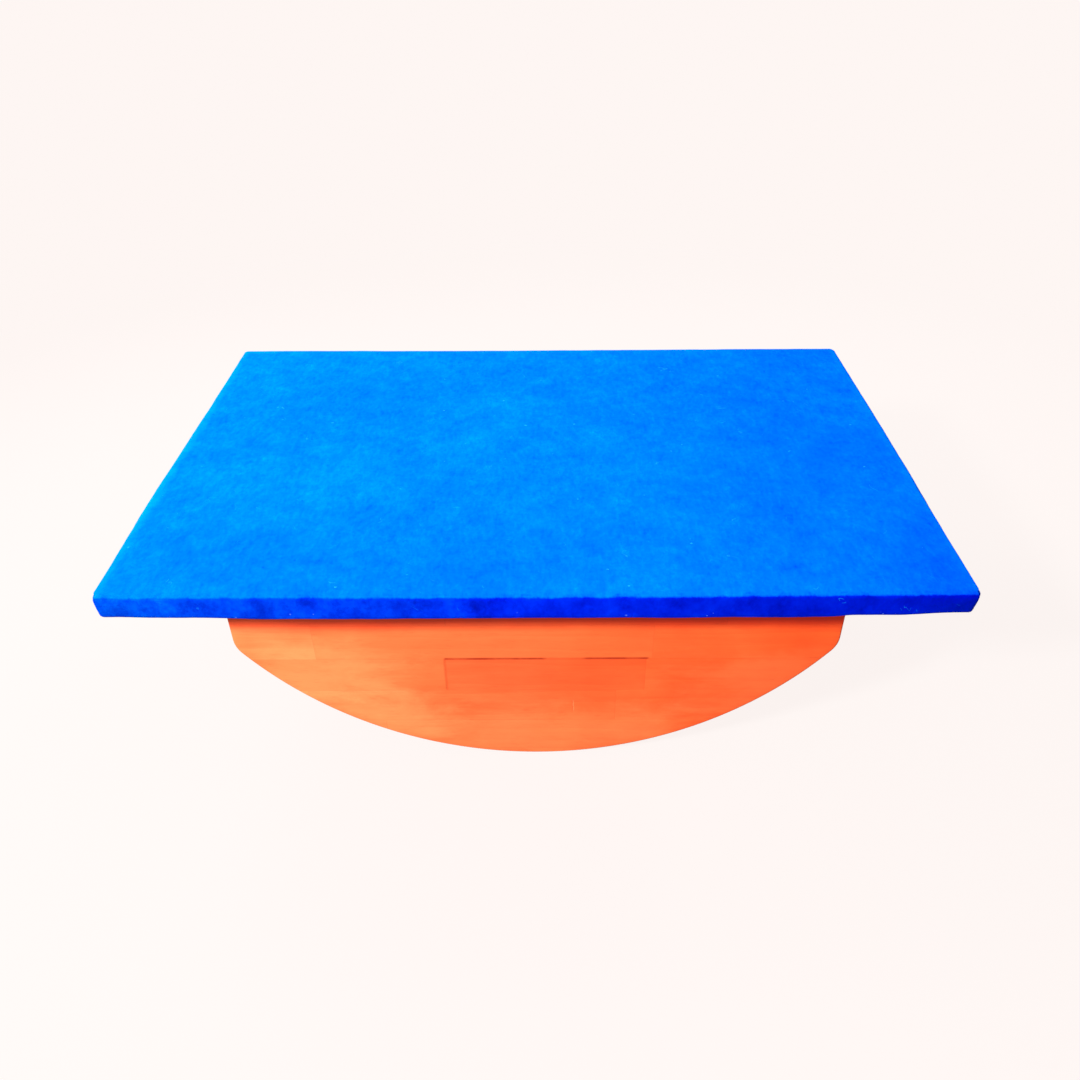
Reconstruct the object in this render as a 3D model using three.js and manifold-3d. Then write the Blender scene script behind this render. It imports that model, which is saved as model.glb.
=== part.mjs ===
// Rectangular balance board (rocker board).
//
// A plywood deck carries a thin felt underlay and is wrapped in one sheet of short-pile carpet, which is turned under the deck
// and stapled. Two D-shaped rockers, cut from edge-glued hardwood panel, stand under the long sides. Countersunk screws driven
// down through the deck hold them, and two cross rails between them, dowelled at their ends and screwed from above, keep them
// upright. The whole board is one rigid body that rolls on the two arcs.
//
// Units are millimetres. +X runs along the long side, +Y from the front rocker to the rear one, +Z up. The origin is on the
// floor, under the middle of the board.

import * as THREE from "three";
import { mergeVertices } from "three/addons/utils/BufferGeometryUtils.js";
import Module from "manifold-3d";

const wasm = await Module();
wasm.setup();

// ---- driving dimensions -------------------------------------------------------------------------------------------------

const BOARD_LENGTH = 600; // X, over the carpet
const BOARD_DEPTH = 400; // Y, over the carpet
const BOARD_CORNER_R = 7; // corner radius seen from above, over the carpet
const BOARD_EDGE_R = 4.5; // rounding of the carpeted edge, top and bottom

const ROCKER_HEIGHT = 168; // floor to the underside of the deck
const PLY_T = 12;
const UNDERLAY_T = 2;
const CARPET_T = 3;
const HEM_LONG = 25; // width of the turned-under hem along the long sides
const HEM_SHORT = 40; // and along the short sides

const ROCKER_HALF_LENGTH = 222;
const ROCKER_T = 25;
const ROCKER_SETBACK = 30; // from the board's edge to the rocker's outer face
const ROCKER_ARC_R = 273;
const ROCKER_HEEL_R = 22; // where the arc meets the upright end
const ROCKER_FACETS = 45; // odd, so that the board stands level on the middle one
const ROCKER_EDGE = 1.5; // eased edges

const RAIL_X = 150; // middle of each cross rail
const RAIL_T = 20;
const RAIL_H = 40;

const SCREW_D = 4;
const SCREW_HEAD_D = 8;
const ROCKER_SCREW_L = 50;
const RAIL_SCREW_L = 40;
const ROCKER_SCREW_X = [-195, -75, 75, 195];
const RAIL_SCREW_Y = [-90, 0, 90];

const DOWEL_D = 8;
const DOWEL_L = 40;
const DOWEL_IN_ROCKER = 18;
const DOWEL_DROP = [10, 30]; // below the deck's underside

const STAPLE_CROWN = 12;
const STAPLE_LEG = 10;
const STAPLE_WIRE_T = 0.6;
const STAPLE_WIRE_W = 1.2;
const STAPLE_PITCH = 70;

const GAP = 0.3; // clearance between pieces that fit inside each other

// ---- derived levels -----------------------------------------------------------------------------------------------------

const DECK_Z = ROCKER_HEIGHT;
const HEM_Z = DECK_Z - CARPET_T;
const PLY_TOP_Z = DECK_Z + PLY_T;
const UNDERLAY_TOP_Z = PLY_TOP_Z + UNDERLAY_T;
const BOARD_TOP_Z = UNDERLAY_TOP_Z + CARPET_T;
const ROCKER_Y = BOARD_DEPTH / 2 - ROCKER_SETBACK - ROCKER_T / 2; // middle of the rocker's thickness
const RAIL_L = 2 * (ROCKER_Y - ROCKER_T / 2) - 2 * GAP;

// ---- materials ----------------------------------------------------------------------------------------------------------

const CARPET = new THREE.MeshStandardMaterial({ color: 0x0a84f5, roughness: 0.95, metalness: 0 });
const FELT = new THREE.MeshStandardMaterial({ color: 0x8d8f92, roughness: 1, metalness: 0 });
const PLYWOOD = new THREE.MeshStandardMaterial({ color: 0xd9b98a, roughness: 0.7, metalness: 0 });
const VARNISHED = new THREE.MeshStandardMaterial({ color: 0xf3783f, roughness: 0.4, metalness: 0 });
const BEECH = new THREE.MeshStandardMaterial({ color: 0xd8b483, roughness: 0.7, metalness: 0 });
const ZINC = new THREE.MeshStandardMaterial({ color: 0xc9c6b4, roughness: 0.35, metalness: 1 });
const STAPLE_STEEL = new THREE.MeshStandardMaterial({ color: 0xb9bcc0, roughness: 0.35, metalness: 1 });

// ---- booleans -----------------------------------------------------------------------------------------------------------

// A closed three.js geometry as a solid.
function solid(geometry) {
  const bare = geometry.index ? geometry.toNonIndexed() : geometry.clone();
  for (const name of Object.keys(bare.attributes))
    if (name !== "position") bare.deleteAttribute(name);
  const merged = mergeVertices(bare, 1e-4);
  return new wasm.Manifold(
    new wasm.Mesh({
      numProp: 3,
      vertProperties: new Float32Array(merged.attributes.position.array),
      triVerts: new Uint32Array(merged.index.array),
    }),
  );
}

// A solid as a three.js geometry.
function geometryOf(made) {
  const mesh = made.getMesh();
  const step = mesh.numProp;
  const positions = new Float32Array(mesh.numVert * 3);
  for (let i = 0; i < mesh.numVert; i++)
    positions.set(mesh.vertProperties.subarray(i * step, i * step + 3), i * 3);
  const geometry = new THREE.BufferGeometry();
  geometry.setAttribute("position", new THREE.BufferAttribute(positions, 3));
  geometry.setIndex(new THREE.BufferAttribute(new Uint32Array(mesh.triVerts), 1));
  geometry.computeVertexNormals();
  return geometry;
}

// body minus every cutter.
function cut(body, cutters) {
  let made = solid(body);
  for (const cutter of cutters) made = made.subtract(solid(cutter));
  return geometryOf(made);
}

function common(a, b) {
  return geometryOf(solid(a).intersect(solid(b)));
}

function box(x, y, z, cx, cy, cz) {
  return new THREE.BoxGeometry(x, y, z).translate(cx, cy, cz);
}

// ---- shapes -------------------------------------------------------------------------------------------------------------

function roundedRectangle(width, depth, radius, steps = 6) {
  const points = [];
  const corners = [
    [1, 1, 0],
    [-1, 1, 90],
    [-1, -1, 180],
    [1, -1, 270],
  ];
  for (const [sx, sy, from] of corners)
    for (let i = 0; i <= steps; i++) {
      const a = THREE.MathUtils.degToRad(from + (90 * i) / steps);
      points.push(
        new THREE.Vector2(
          sx * (width / 2 - radius) + radius * Math.cos(a),
          sy * (depth / 2 - radius) + radius * Math.sin(a),
        ),
      );
    }
  return new THREE.Shape(points);
}

// A slab with rounded corners and rounded top and bottom edges, from z0 to z1.
function slab(width, depth, z0, z1, cornerR, edgeR, edgeSteps = 3) {
  return new THREE.ExtrudeGeometry(roundedRectangle(width, depth, cornerR), {
    depth: z1 - z0 - 2 * edgeR,
    bevelEnabled: true,
    bevelThickness: edgeR,
    bevelSize: edgeR,
    bevelOffset: -edgeR,
    bevelSegments: edgeSteps,
    curveSegments: 1,
    steps: 1,
  }).translate(0, 0, z0 + edgeR);
}

// The outline of a rocker in its own plane: an upright end each side, a rounded heel, and one circular arc tangent to the floor.
function rockerOutline() {
  const h = ROCKER_HALF_LENGTH;
  const R = ROCKER_ARC_R;
  const k = ROCKER_HEEL_R;
  const heelX = h - k;
  const heelZ = R - Math.sqrt((R - k) ** 2 - heelX ** 2);
  const meet = Math.asin(heelX / (R - k)); // angle from the vertical at which the arc meets the heel
  const step = (2 * meet) / ROCKER_FACETS;
  const right = [];
  // Each facet touches the true circle at its middle, so the middle one lies on the floor.
  for (let i = 0; i <= (ROCKER_FACETS - 1) / 2; i++) {
    const a = (i + 0.5) * step;
    const r = R / Math.cos(step / 2);
    right.push(new THREE.Vector2(r * Math.sin(a), R - r * Math.cos(a)));
  }
  const heelSteps = 5;
  for (let i = 1; i <= heelSteps; i++) {
    const a = meet + ((Math.PI / 2 - meet) * i) / heelSteps;
    right.push(new THREE.Vector2(heelX + k * Math.sin(a), heelZ - k * Math.cos(a)));
  }
  right.push(new THREE.Vector2(h, ROCKER_HEIGHT));
  const left = right.map((p) => new THREE.Vector2(-p.x, p.y)).reverse();
  return new THREE.Shape([...left, ...right]);
}

// A countersunk wood screw hanging down from z = 0, which is the top of its head.
function screwProfile(length, grow = 0) {
  const r = SCREW_D / 2 + grow;
  const core = SCREW_D * 0.36 + grow;
  const head = SCREW_HEAD_D / 2 + grow;
  const cone = (SCREW_HEAD_D - SCREW_D) / 2;
  const top = grow ? 1 : 0;
  const points = [
    [0, -length - grow],
    [core * (grow ? 0.6 : 0.25), -length + 1 - grow],
    [grow ? r : core, -length + 5],
  ];
  if (!grow) points.push([core, -length * 0.42], [r, -length * 0.4]);
  points.push([r, -cone - 0.4 - grow * 0.4], [head, -0.4 - grow * 0.4], [head, top], [0, top]);
  return points.map(([x, z]) => new THREE.Vector2(x, z));
}

function turned(points, segments) {
  return new THREE.LatheGeometry(points, segments).rotateX(Math.PI / 2);
}

function screw(length) {
  const cross = [box(4.2, 1, 3, 0, 0, 0), box(1, 4.2, 3, 0, 0, 0)];
  return cut(turned(screwProfile(length), 12), cross);
}

function screwHole(length, x, y, z) {
  return turned(screwProfile(length, GAP), 12).translate(x, y, z);
}

// A plain dowel along Y, centred, with chamfered ends.
function dowel() {
  const r = DOWEL_D / 2;
  const l = DOWEL_L / 2;
  return new THREE.LatheGeometry(
    [
      [0, -l],
      [r - 1, -l],
      [r, -l + 1.5],
      [r, l - 1.5],
      [r - 1, l],
      [0, l],
    ].map(([x, y]) => new THREE.Vector2(x, y)),
    12,
  );
}

function dowelHole(x, y, z) {
  return new THREE.CylinderGeometry(DOWEL_D / 2 + GAP, DOWEL_D / 2 + GAP, DOWEL_L + 2, 12).translate(x, y, z);
}

// A staple with its crown along X on z = 0 and its legs up.
function staple() {
  const w = STAPLE_CROWN / 2;
  const t = STAPLE_WIRE_T;
  const outline = new THREE.Shape(
    [
      [-w, t * 0.5],
      [-w + t * 0.5, 0],
      [w - t * 0.5, 0],
      [w, t * 0.5],
      [w, STAPLE_LEG - 0.4],
      [w - t, STAPLE_LEG + t],
      [w - t, t],
      [-w + t, t],
      [-w + t, STAPLE_LEG + t],
      [-w, STAPLE_LEG - 0.4],
    ].map(([x, z]) => new THREE.Vector2(x, z)),
  );
  return new THREE.ExtrudeGeometry(outline, { depth: STAPLE_WIRE_W, bevelEnabled: false })
    .translate(0, 0, -STAPLE_WIRE_W / 2)
    .rotateX(Math.PI / 2);
}

// The two slots that a staple's legs make in the hem and the deck.
function stapleSlots({ x, y, turn }) {
  const a = THREE.MathUtils.degToRad(turn);
  return [-1, 1].map((side) => {
    const slot = new THREE.BoxGeometry(STAPLE_WIRE_T + 2 * GAP, STAPLE_WIRE_W + 2 * GAP, STAPLE_LEG + 3);
    slot.translate(side * (STAPLE_CROWN / 2 - STAPLE_WIRE_T / 2), 0, (STAPLE_LEG + 3) / 2);
    slot.rotateZ(a);
    return slot.translate(x, y, HEM_Z - 1.6);
  });
}

// ---- where the fasteners go ---------------------------------------------------------------------------------------------

const rockerScrews = [];
for (const [side, y] of [
  ["front", -ROCKER_Y],
  ["rear", ROCKER_Y],
])
  ROCKER_SCREW_X.forEach((x, i) => rockerScrews.push({ name: `rocker_screw_${side}_${i + 1}`, x, y }));

const railScrews = [];
for (const [side, x] of [
  ["left", -RAIL_X],
  ["right", RAIL_X],
])
  RAIL_SCREW_Y.forEach((y, i) => railScrews.push({ name: `rail_screw_${side}_${i + 1}`, x, y }));

const dowels = [];
for (const [end, sy] of [
  ["front", -1],
  ["rear", 1],
])
  for (const [side, x] of [
    ["left", -RAIL_X],
    ["right", RAIL_X],
  ])
    DOWEL_DROP.forEach((drop, i) =>
      dowels.push({
        name: `rail_dowel_${end}_${side}_${i ? "lower" : "upper"}`,
        x,
        y: sy * (ROCKER_Y - ROCKER_T / 2 + DOWEL_IN_ROCKER - DOWEL_L / 2),
        z: DECK_Z - drop,
      }),
    );

const staples = [];
const hemY = BOARD_DEPTH / 2 - HEM_LONG / 2 - 1;
const hemX = BOARD_LENGTH / 2 - HEM_SHORT * 0.6;
for (const [side, sy] of [
  ["front", -1],
  ["rear", 1],
])
  for (let i = 0; i < 8; i++)
    staples.push({ name: `hem_staple_${side}_${i + 1}`, x: (i - 3.5) * STAPLE_PITCH, y: sy * hemY, turn: 0 });
for (const [side, sx] of [
  ["left", -1],
  ["right", 1],
])
  for (let i = 0; i < 5; i++)
    staples.push({ name: `hem_staple_${side}_${i + 1}`, x: sx * hemX, y: (i - 2) * (STAPLE_PITCH - 5), turn: 90 });
[
  [-1, -1, 45],
  [1, -1, -45],
  [1, 1, 45],
  [-1, 1, -45],
].forEach(([sx, sy, turn], i) =>
  staples.push({
    name: `hem_staple_corner_${i + 1}`,
    x: sx * (BOARD_LENGTH / 2 - 17),
    y: sy * (BOARD_DEPTH / 2 - 17),
    turn: turn + 90,
  }),
);

// ---- assembly -----------------------------------------------------------------------------------------------------------

function piece(parent, name, geometry, material, x = 0, y = 0, z = 0, turn = 0) {
  const mesh = new THREE.Mesh(geometry, material);
  mesh.name = name;
  mesh.position.set(x, y, z);
  mesh.rotation.z = THREE.MathUtils.degToRad(turn);
  parent.add(mesh);
  return mesh;
}

const board = new THREE.Group();
const platform = new THREE.Group();
const base = new THREE.Group();
const fasteners = new THREE.Group();
board.add(platform, base, fasteners);

const slots = staples.flatMap(stapleSlots);
const screwHoles = [
  ...rockerScrews.map(({ x, y }) => screwHole(ROCKER_SCREW_L, x, y, PLY_TOP_Z)),
  ...railScrews.map(({ x, y }) => screwHole(RAIL_SCREW_L, x, y, PLY_TOP_Z)),
];

// What the carpet encloses: the deck with eased lower edges and the underlay with eased upper ones.
const core = (gap) =>
  slab(
    BOARD_LENGTH - 2 * CARPET_T - 2 * gap,
    BOARD_DEPTH - 2 * CARPET_T - 2 * gap,
    DECK_Z,
    UNDERLAY_TOP_Z,
    BOARD_CORNER_R - CARPET_T - gap,
    BOARD_EDGE_R - CARPET_T,
    2,
  );
const wide = [BOARD_LENGTH + 20, BOARD_DEPTH + 20];

piece(
  platform,
  "deck_panel",
  cut(common(core(GAP), box(...wide, PLY_T + 1, 0, 0, PLY_TOP_Z - (PLY_T + 1) / 2)), [...screwHoles, ...slots]),
  PLYWOOD,
);
piece(
  platform,
  "underlay_pad",
  common(core(GAP), box(...wide, UNDERLAY_T + 1, 0, 0, PLY_TOP_Z + (UNDERLAY_T + 1) / 2)),
  FELT,
);
piece(
  platform,
  "carpet_cover",
  cut(slab(BOARD_LENGTH, BOARD_DEPTH, HEM_Z, BOARD_TOP_Z, BOARD_CORNER_R, BOARD_EDGE_R), [
    core(0),
    box(BOARD_LENGTH - 2 * HEM_SHORT, BOARD_DEPTH - 2 * HEM_LONG, CARPET_T * 2, 0, 0, HEM_Z + CARPET_T / 2),
    ...slots,
  ]),
  CARPET,
);

const rockerBlank = (y) =>
  new THREE.ExtrudeGeometry(rockerOutline(), {
    depth: ROCKER_T - 2 * ROCKER_EDGE,
    bevelEnabled: true,
    bevelThickness: ROCKER_EDGE,
    bevelSize: ROCKER_EDGE,
    bevelOffset: -ROCKER_EDGE,
    bevelSegments: 1,
    curveSegments: 1,
    steps: 1,
  })
    .rotateX(Math.PI / 2)
    .translate(0, y + ROCKER_T / 2 - ROCKER_EDGE, 0);
for (const [name, side, y] of [
  ["rocker_front", "front", -ROCKER_Y],
  ["rocker_rear", "rear", ROCKER_Y],
])
  piece(
    base,
    name,
    cut(rockerBlank(y), [
      ...rockerScrews.filter((s) => s.name.includes(side)).map((s) => screwHole(ROCKER_SCREW_L, s.x, s.y, PLY_TOP_Z)),
      ...dowels.filter((d) => d.name.includes(side)).map((d) => dowelHole(d.x, d.y, d.z)),
    ]),
    VARNISHED,
  );

const railShape = roundedRectangle(RAIL_T, RAIL_H, 2, 2);
for (const [name, side, x] of [
  ["cross_rail_left", "left", -RAIL_X],
  ["cross_rail_right", "right", RAIL_X],
])
  piece(
    base,
    name,
    cut(
      new THREE.ExtrudeGeometry(railShape, { depth: RAIL_L, bevelEnabled: false, curveSegments: 1 })
        .rotateX(Math.PI / 2)
        .translate(x, RAIL_L / 2, DECK_Z - RAIL_H / 2),
      [
        ...railScrews.filter((s) => s.name.includes(side)).map((s) => screwHole(RAIL_SCREW_L, s.x, s.y, PLY_TOP_Z)),
        ...dowels.filter((d) => d.name.includes(side)).map((d) => dowelHole(d.x, d.y, d.z)),
      ],
    ),
    VARNISHED,
  );

const rockerScrew = screw(ROCKER_SCREW_L);
const railScrew = screw(RAIL_SCREW_L);
for (const s of rockerScrews) piece(fasteners, s.name, rockerScrew, ZINC, s.x, s.y, PLY_TOP_Z);
for (const s of railScrews) piece(fasteners, s.name, railScrew, ZINC, s.x, s.y, PLY_TOP_Z);

const dowelPin = dowel();
for (const d of dowels) piece(fasteners, d.name, dowelPin, BEECH, d.x, d.y, d.z);

const hemStaple = staple();
for (const s of staples) piece(fasteners, s.name, hemStaple, STAPLE_STEEL, s.x, s.y, HEM_Z - STAPLE_WIRE_T, s.turn);

export default board;
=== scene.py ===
"""Balance board: the looks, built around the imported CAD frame. Everything is in metres, with +X along the long side, +Y from
the front rocker to the rear one and +Z up, and the origin on the floor under the middle of the board."""

import math

import bpy
from mathutils import Matrix, Vector, noise

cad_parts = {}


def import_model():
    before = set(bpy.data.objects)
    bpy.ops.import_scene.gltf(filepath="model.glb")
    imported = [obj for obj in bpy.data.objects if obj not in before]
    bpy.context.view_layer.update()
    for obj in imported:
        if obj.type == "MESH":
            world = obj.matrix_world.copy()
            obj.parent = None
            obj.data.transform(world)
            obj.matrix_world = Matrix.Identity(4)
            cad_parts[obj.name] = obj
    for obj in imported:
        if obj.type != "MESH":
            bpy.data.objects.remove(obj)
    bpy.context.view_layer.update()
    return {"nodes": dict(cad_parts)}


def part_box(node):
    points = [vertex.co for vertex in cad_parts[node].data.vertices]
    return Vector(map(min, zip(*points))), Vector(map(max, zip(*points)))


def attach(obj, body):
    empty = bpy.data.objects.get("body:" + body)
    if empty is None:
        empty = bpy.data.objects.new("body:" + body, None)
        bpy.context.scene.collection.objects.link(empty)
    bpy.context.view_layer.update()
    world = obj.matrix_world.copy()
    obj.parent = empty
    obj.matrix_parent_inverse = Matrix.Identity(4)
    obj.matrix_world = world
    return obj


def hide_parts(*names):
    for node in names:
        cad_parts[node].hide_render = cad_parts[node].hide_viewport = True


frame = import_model()
scene = bpy.context.scene

MM = 0.001

# ---- sizes, as the CAD has them -------------------------------------------------------------------------------------------

carpet_lo, carpet_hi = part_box("carpet_cover")
rocker_lo, rocker_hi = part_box("rocker_front")
deck_lo, deck_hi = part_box("deck_panel")
pad_lo, pad_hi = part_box("underlay_pad")

TOP_Z = carpet_hi[2]
HEM_Z = carpet_lo[2]
DECK_Z = deck_lo[2]
HALF_X = carpet_hi[0]
HALF_Y = carpet_hi[1]
PLAN_R = 7 * MM  # corner radius seen from above
EDGE_R = 4.5 * MM  # rounding of the carpeted edge, underneath
CREASE_R = 3.8 * MM  # and on top, where the cloth is pulled over the edge
CLOTH_T = 3 * MM
HEM_LONG = 25 * MM
HEM_SHORT = 40 * MM
ROCKER_R = 273 * MM
HEEL_R = 22 * MM
STAVE_H = 32.3 * MM
STAVE_Z0 = 5.4 * MM

# ---- materials --------------------------------------------------------------------------------------------------------------


class Nodes:
    """A small writer for node materials."""

    def __init__(self, name, **constants):
        self.material = bpy.data.materials.new(name)
        self.material.use_nodes = True
        self.tree = self.material.node_tree
        self.tree.nodes.clear()
        self.out = self.node("ShaderNodeOutputMaterial")
        self.shader = self.node("ShaderNodeBsdfPrincipled")
        self.tree.links.new(self.shader.outputs[0], self.out.inputs["Surface"])
        for key, value in constants.items():
            self.shader.inputs[key.replace("_", " ").title().replace("Ior", "IOR")].default_value = value
        self.position = self.node("ShaderNodeTexCoord").outputs["Object"]

    def node(self, kind, **props):
        made = self.tree.nodes.new(kind)
        for key, value in props.items():
            setattr(made, key, value)
        return made

    def put(self, socket, value):
        if isinstance(value, bpy.types.NodeSocket):
            self.tree.links.new(value, socket)
        elif value is not None:
            socket.default_value = value

    def math(self, operation, a, b=None, c=None, clamp=False):
        made = self.node("ShaderNodeMath", operation=operation, use_clamp=clamp)
        for i, value in enumerate((a, b, c)):
            if value is not None:
                self.put(made.inputs[i], value)
        return made.outputs[0]

    def add(self, a, b):
        return self.math("ADD", a, b)

    def sub(self, a, b):
        return self.math("SUBTRACT", a, b)

    def mul(self, a, b):
        return self.math("MULTIPLY", a, b)

    def vector(self, operation, a, b=None):
        made = self.node("ShaderNodeVectorMath", operation=operation)
        self.put(made.inputs[0], a)
        if b is not None:
            self.put(made.inputs[1], b)
        return made.outputs[0]

    def split(self, vector):
        made = self.node("ShaderNodeSeparateXYZ")
        self.put(made.inputs[0], vector)
        return made.outputs

    def join(self, x, y, z):
        made = self.node("ShaderNodeCombineXYZ")
        for i, value in enumerate((x, y, z)):
            self.put(made.inputs[i], value)
        return made.outputs[0]

    def noise(self, scale, detail=3.0, roughness=0.5, distortion=0.0, vector=None, colour=False):
        made = self.node("ShaderNodeTexNoise")
        self.put(made.inputs["Vector"], self.position if vector is None else vector)
        made.inputs["Scale"].default_value = scale
        made.inputs["Detail"].default_value = detail
        made.inputs["Roughness"].default_value = roughness
        made.inputs["Distortion"].default_value = distortion
        return made.outputs["Color" if colour else "Fac"]

    def cells(self, scale, feature="F1", vector=None, output="Distance", randomness=1.0):
        made = self.node("ShaderNodeTexVoronoi", feature=feature)
        self.put(made.inputs["Vector"], self.position if vector is None else vector)
        made.inputs["Scale"].default_value = scale
        made.inputs["Randomness"].default_value = randomness
        return made.outputs[output]

    def white(self, vector, output="Value"):
        made = self.node("ShaderNodeTexWhiteNoise", noise_dimensions="3D")
        self.put(made.inputs["Vector"], vector)
        return made.outputs[output]

    def span(self, value, low, high, to_low=0.0, to_high=1.0, smooth=True):
        made = self.node("ShaderNodeMapRange", interpolation_type="SMOOTHSTEP" if smooth else "LINEAR")
        made.clamp = True
        self.put(made.inputs["Value"], value)
        for key, number in (("From Min", low), ("From Max", high), ("To Min", to_low), ("To Max", to_high)):
            self.put(made.inputs[key], number)
        return made.outputs["Result"]

    def ramp(self, factor, stops):
        made = self.node("ShaderNodeValToRGB")
        self.put(made.inputs[0], factor)
        elements = made.color_ramp.elements
        while len(elements) < len(stops):
            elements.new(0.5)
        for element, (at, colour) in zip(elements, stops):
            element.position = at
            element.color = (*colour, 1)
        return made.outputs[0]

    def mix(self, factor, a, b, blend="MIX"):
        made = self.node("ShaderNodeMix", data_type="RGBA", blend_type=blend)
        self.put(made.inputs[0], factor)
        self.put(made.inputs[6], (*a, 1) if isinstance(a, tuple) else a)
        self.put(made.inputs[7], (*b, 1) if isinstance(b, tuple) else b)
        return made.outputs[2]

    def bump(self, height, distance, strength=1.0, normal=None):
        made = self.node("ShaderNodeBump")
        made.inputs["Strength"].default_value = strength
        made.inputs["Distance"].default_value = distance
        self.put(made.inputs["Height"], height)
        if normal is not None:
            self.put(made.inputs["Normal"], normal)
        return made.outputs[0]

    def finish(self, colour=None, roughness=None, normal=None, metallic=None):
        for key, value in (("Base Color", colour), ("Roughness", roughness), ("Normal", normal), ("Metallic", metallic)):
            if value is not None:
                self.put(self.shader.inputs[key], value)
        return self.material


def carpet_material():
    """Needled short-pile carpet. Its top is a lighter azure than the deep blue of the pile that wraps the sides:
    painted light and shade, chosen by which way the surface faces. It is mottled, with fine fibres, a little light lint
    and a few dark specks."""
    n = Nodes("blue_carpet", sheen_weight=0.05, sheen_roughness=0.5, sheen_tint=(0.0, 0.5, 1.0, 1.0), specular_ior_level=0.0)
    clouds = n.noise(6.0, 2.0, 0.5)
    blotches = n.noise(46.0, 4.0, 0.6)
    tufts = n.noise(330.0, 3.0, 0.6)
    fibres = n.noise(1500.0, 2.0, 0.6, 0.4)
    # Pile lies mostly along the short side, so the fibres read a little longer that way.
    streaked = n.noise(230.0, 4.0, 0.65, 0.3, n.vector("MULTIPLY", n.position, (1.0, 0.45, 0.8)))
    tone = n.mul(n.sub(clouds, 0.5), 0.45)
    tone = n.add(tone, n.mul(n.sub(blotches, 0.5), 0.85))
    tone = n.add(tone, n.mul(n.sub(streaked, 0.5), 0.8))
    tone = n.add(tone, n.mul(n.sub(tufts, 0.5), 0.35))
    tone = n.add(tone, n.mul(n.sub(fibres, 0.5), 0.45))
    tone = n.math("ADD", tone, 0.5, clamp=True)
    # The lighter azure of the top, painted light.
    top = n.ramp(
        tone,
        [
            (0.0, (0.0, 0.085, 0.7)),
            (0.3, (0.0, 0.15, 0.86)),
            (0.52, (0.0, 0.19, 0.94)),
            (0.78, (0.0, 0.25, 0.98)),
            (1.0, (0.0, 0.4, 1.0)),
        ],
    )
    deep = n.math("ADD", n.add(n.mul(tone, 0.7), n.mul(n.sub(blotches, 0.5), 0.9)), 0.15, clamp=True)
    # The deeper blue of the sides, painted shade.
    side = n.ramp(
        deep,
        [
            (0.0, (0.0, 0.01, 0.36)),
            (0.35, (0.0, 0.034, 0.62)),
            (0.55, (0.0, 0.058, 0.74)),
            (0.8, (0.0, 0.1, 0.84)),
            (1.0, (0.0, 0.2, 0.95)),
        ],
    )
    # Painted light: lighter and greener towards the end nearer the key light, standing in for the lamp's falloff along
    # the board; and a painted highlight, lighter cyan along the edges of the top, strongest at that end.
    x, y, z = n.split(n.position)[:3]
    drift = n.add(n.span(x, -0.3, 0.3, smooth=False), n.mul(n.sub(n.noise(5.0, 2.0, 0.5), 0.5), 0.5))
    top = n.mix(1.0, top, n.ramp(drift, [(0.0, (1.0, 0.79, 1.0)), (0.45, (1.0, 0.84, 1.0)), (1.0, (1.0, 0.6, 1.0))]), "MULTIPLY")
    side = n.mix(1.0, side, n.ramp(drift, [(0.0, (1.0, 1.1, 0.84)), (0.22, (1.0, 0.68, 0.87)), (0.45, (1.0, 0.27, 0.97)), (1.0, (1.0, 0.05, 0.67))]), "MULTIPLY")
    rim = n.math("MINIMUM", n.sub(HALF_X, n.math("ABSOLUTE", x)), n.math("MAXIMUM", n.sub(HALF_Y, y), 0.0))
    rim = n.add(rim, n.mul(n.sub(n.noise(60.0, 3.0, 0.6), 0.5), 10 * MM))
    # Painted highlight: the top's edges go lighter cyan, most at the end nearer the key light.
    painted_edge_highlight = n.mul(n.span(rim, 2 * MM, 12 * MM, 1.0, 0.0), n.span(x, -0.3, -0.22, 0.34, 0.07))
    top = n.mix(painted_edge_highlight, top, (0.0, 0.42, 1.0))
    # Trodden a little deeper in colour along the front edge, most of all at one corner.
    trodden = n.span(n.add(y, n.mul(n.sub(n.noise(9.0, 2.0, 0.5), 0.5), 60 * MM)), -0.19, -0.07, 1.0, 0.0)
    trodden = n.mul(trodden, n.math("MAXIMUM", n.span(x, -0.02, 0.1, 0.5, 0.0), n.span(x, 0.2, 0.29)))
    top = n.mix(trodden, top, (1.0, 0.72, 1.0), "MULTIPLY")
    # Painted light and shade: the lit top and the shaded sides take the two blues by which way the surface faces. The
    # change follows the edge's crease, which wanders a little.
    facing = n.split(n.node("ShaderNodeNewGeometry").outputs["Normal"])[2]
    crease = n.add(facing, n.mul(n.sub(n.noise(88.0, 3.0, 0.6), 0.5), 0.6))
    crease = n.add(crease, n.mul(n.sub(tufts, 0.5), 0.35))
    colour = n.mix(n.span(crease, 0.5, 0.94), side, top)
    # Light lint: sparse soft points, and short curled hairs.
    lint_cells = n.cells(44.0)
    lint_size = n.span(n.noise(23.0, 1.0), 0.35, 0.65, 0.02, 0.055)
    lint = n.math("LESS_THAN", lint_cells, lint_size)
    lint = n.mul(lint, n.span(n.noise(900.0, 1.0), 0.4, 0.6, 0.2, 1.0))
    colour = n.mix(n.mul(lint, n.span(facing, 0.3, 0.8, 0.12, 0.42)), colour, (0.02, 0.5, 1.0))
    hair_noise = n.noise(34.0, 2.0, 0.5, 1.2)
    hair_band = n.span(n.math("ABSOLUTE", n.sub(hair_noise, 0.5)), 0.0, 0.006, 1.0, 0.0)
    hair_where = n.span(n.noise(90.0, 1.0), 0.66, 0.72)
    colour = n.mix(n.mul(n.mul(hair_band, hair_where), 0.3), colour, (0.02, 0.5, 1.0))
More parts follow.
